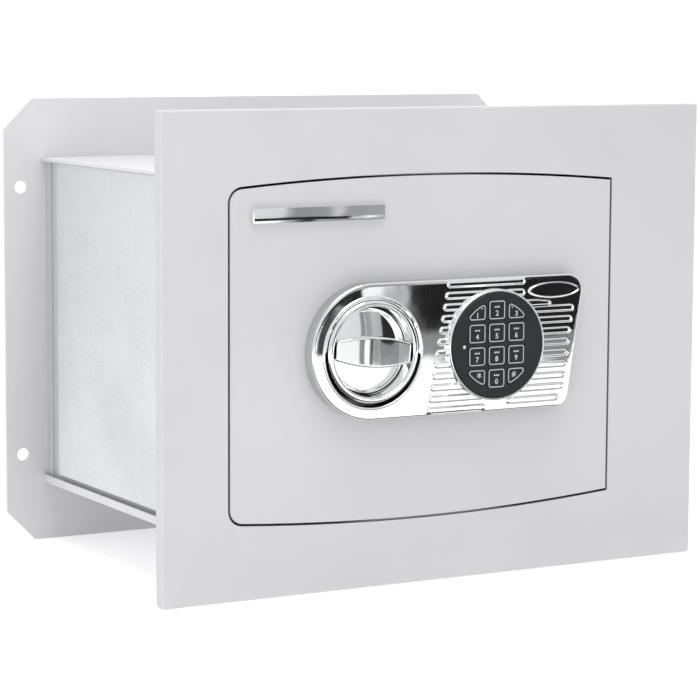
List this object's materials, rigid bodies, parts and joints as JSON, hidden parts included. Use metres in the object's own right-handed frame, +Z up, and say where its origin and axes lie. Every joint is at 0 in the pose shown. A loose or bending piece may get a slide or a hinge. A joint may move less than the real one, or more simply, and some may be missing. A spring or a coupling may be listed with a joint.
{
  "type": "wall safe",
  "caption": "Wall safe: steel box with a front frame and rear anchor flange, a bowed concealed-hinge door, dished turn knob and round keypad.",
  "frame": {"origin": "centre of the rear flange's back face", "axes": "+X to the right seen from the room, -Y out of the wall towards the room, +Z up"},
  "size_m": [0.423, 0.2825, 0.324],
  "materials": {
    "grey_powder_coat": "fine-textured light grey powder coat",
    "zinc_plated_steel": "bright zinc plate",
    "hard_bolt_steel": "nickel-plated turned steel",
    "bright_chrome": "mirror chrome on zinc casting",
    "slate_plastic": "fine matt moulding",
    "key_plastic": "fine matt keys with silver outline and light figures",
    "dark_rubber": "moulded silicone",
    "lamp_lens": "frosted clear lens",
    "grey_felt": "needled felt",
    "inner_plastic": "black moulding",
    "bronze_bush": "turned bronze",
    "circuit_green": "solder-masked board",
    "cell_jacket": "plain printed jacket",
    "cable_sheath": "black sheath",
    "spring_wire": "drawn wire"
  },
  "bodies": {
    "safe_body": {"front_frame": "grey_powder_coat", "rear_flange": "grey_powder_coat", "body_top_plate": "grey_powder_coat", "body_bottom_plate": "grey_powder_coat", "side_panel_left": "grey_powder_coat", "side_panel_right": "grey_powder_coat", "inner_liner": "grey_powder_coat", "back_pan": "grey_powder_coat", "floor_mat": "grey_felt", "hinge_blocks": "grey_powder_coat", "pivot_spacers": "bronze_bush", "bolt_keeper": "grey_powder_coat"},
    "door": {"door_skin": "grey_powder_coat", "door_stiffener": "grey_powder_coat", "door_side_frame": "grey_powder_coat", "door_inner_cover": "grey_powder_coat", "cover_screws": "zinc_plated_steel", "hinge_pins": "hard_bolt_steel", "door_knuckles": "grey_powder_coat", "escutcheon": "bright_chrome", "escutcheon_screws": "zinc_plated_steel", "keypad_bezel": "bright_chrome", "keypad_housing": "slate_plastic", "keypad_board": "circuit_green", "key_mat": "dark_rubber", "status_lamp": "lamp_lens", "door_badge": "bright_chrome", "oval_badge": "bright_chrome", "spindle_bush": "bronze_bush", "guide_studs": "zinc_plated_steel", "lock_solenoid": "zinc_plated_steel", "control_board": "circuit_green", "board_standoffs": "inner_plastic", "battery_tray": "inner_plastic", "batteries": "cell_jacket", "keypad_cable": "cable_sheath", "plunger_spring": "spring_wire"},
    "turn_knob": {"knob_disc": "bright_chrome", "knob_grip": "bright_chrome", "knob_spindle": "hard_bolt_steel", "knob_cam": "zinc_plated_steel", "spindle_clip": "zinc_plated_steel"},
    "bolt_carriage": {"bolt_carriage": "zinc_plated_steel", "locking_bolts": "hard_bolt_steel", "bolt_nuts": "zinc_plated_steel"},
    "blocking_plunger": {"solenoid_plunger": "hard_bolt_steel"},
    "key_1": {"key_1": "key_plastic"},
    "key_2": {"key_2": "key_plastic"},
    "key_3": {"key_3": "key_plastic"},
    "key_4": {"key_4": "key_plastic"},
    "key_5": {"key_5": "key_plastic"},
    "key_6": {"key_6": "key_plastic"},
    "key_7": {"key_7": "key_plastic"},
    "key_8": {"key_8": "key_plastic"},
    "key_9": {"key_9": "key_plastic"},
    "key_star": {"key_star": "key_plastic"},
    "key_0": {"key_0": "key_plastic"},
    "key_hash": {"key_hash": "key_plastic"}
  },
  "joints": [
    {"name": "door_swing", "type": "hinge", "parent": "safe_body", "child": "door", "pos_m": [0.112, -0.258, 0], "axis": [0, 0, 1], "range_deg": [0, 105]},
    {"name": "knob_turn", "type": "hinge", "parent": "door", "child": "turn_knob", "pos_m": [-0.06, -0.274, 0], "axis": [0, 1, 0], "range_deg": [0, 90]},
    {"name": "bolt_throw", "type": "slide", "parent": "door", "child": "bolt_carriage", "axis": [-1, 0, 0], "range_m": [0, 0.0184]},
    {"name": "plunger_slide", "type": "slide", "parent": "door", "child": "blocking_plunger", "axis": [0, 0, 1], "range_m": [0, 0.005], "deforming": ["plunger_spring"]},
    {"name": "key_1_press", "type": "slide", "parent": "door", "child": "key_1", "axis": [0, 1, 0], "range_m": [0, 0.0008]},
    {"name": "key_2_press", "type": "slide", "parent": "door", "child": "key_2", "axis": [0, 1, 0], "range_m": [0, 0.0008]},
    {"name": "key_3_press", "type": "slide", "parent": "door", "child": "key_3", "axis": [0, 1, 0], "range_m": [0, 0.0008]},
    {"name": "key_4_press", "type": "slide", "parent": "door", "child": "key_4", "axis": [0, 1, 0], "range_m": [0, 0.0008]},
    {"name": "key_5_press", "type": "slide", "parent": "door", "child": "key_5", "axis": [0, 1, 0], "range_m": [0, 0.0008]},
    {"name": "key_6_press", "type": "slide", "parent": "door", "child": "key_6", "axis": [0, 1, 0], "range_m": [0, 0.0008]},
    {"name": "key_7_press", "type": "slide", "parent": "door", "child": "key_7", "axis": [0, 1, 0], "range_m": [0, 0.0008]},
    {"name": "key_8_press", "type": "slide", "parent": "door", "child": "key_8", "axis": [0, 1, 0], "range_m": [0, 0.0008]},
    {"name": "key_9_press", "type": "slide", "parent": "door", "child": "key_9", "axis": [0, 1, 0], "range_m": [0, 0.0008]},
    {"name": "key_star_press", "type": "slide", "parent": "door", "child": "key_star", "axis": [0, 1, 0], "range_m": [0, 0.0008]},
    {"name": "key_0_press", "type": "slide", "parent": "door", "child": "key_0", "axis": [0, 1, 0], "range_m": [0, 0.0008]},
    {"name": "key_hash_press", "type": "slide", "parent": "door", "child": "key_hash", "axis": [0, 1, 0], "range_m": [0, 0.0008]}
  ],
  "couplings": [
    {"joint": "bolt_throw", "follows": "knob_turn", "m_per_rad": 0.0117}
  ]
}
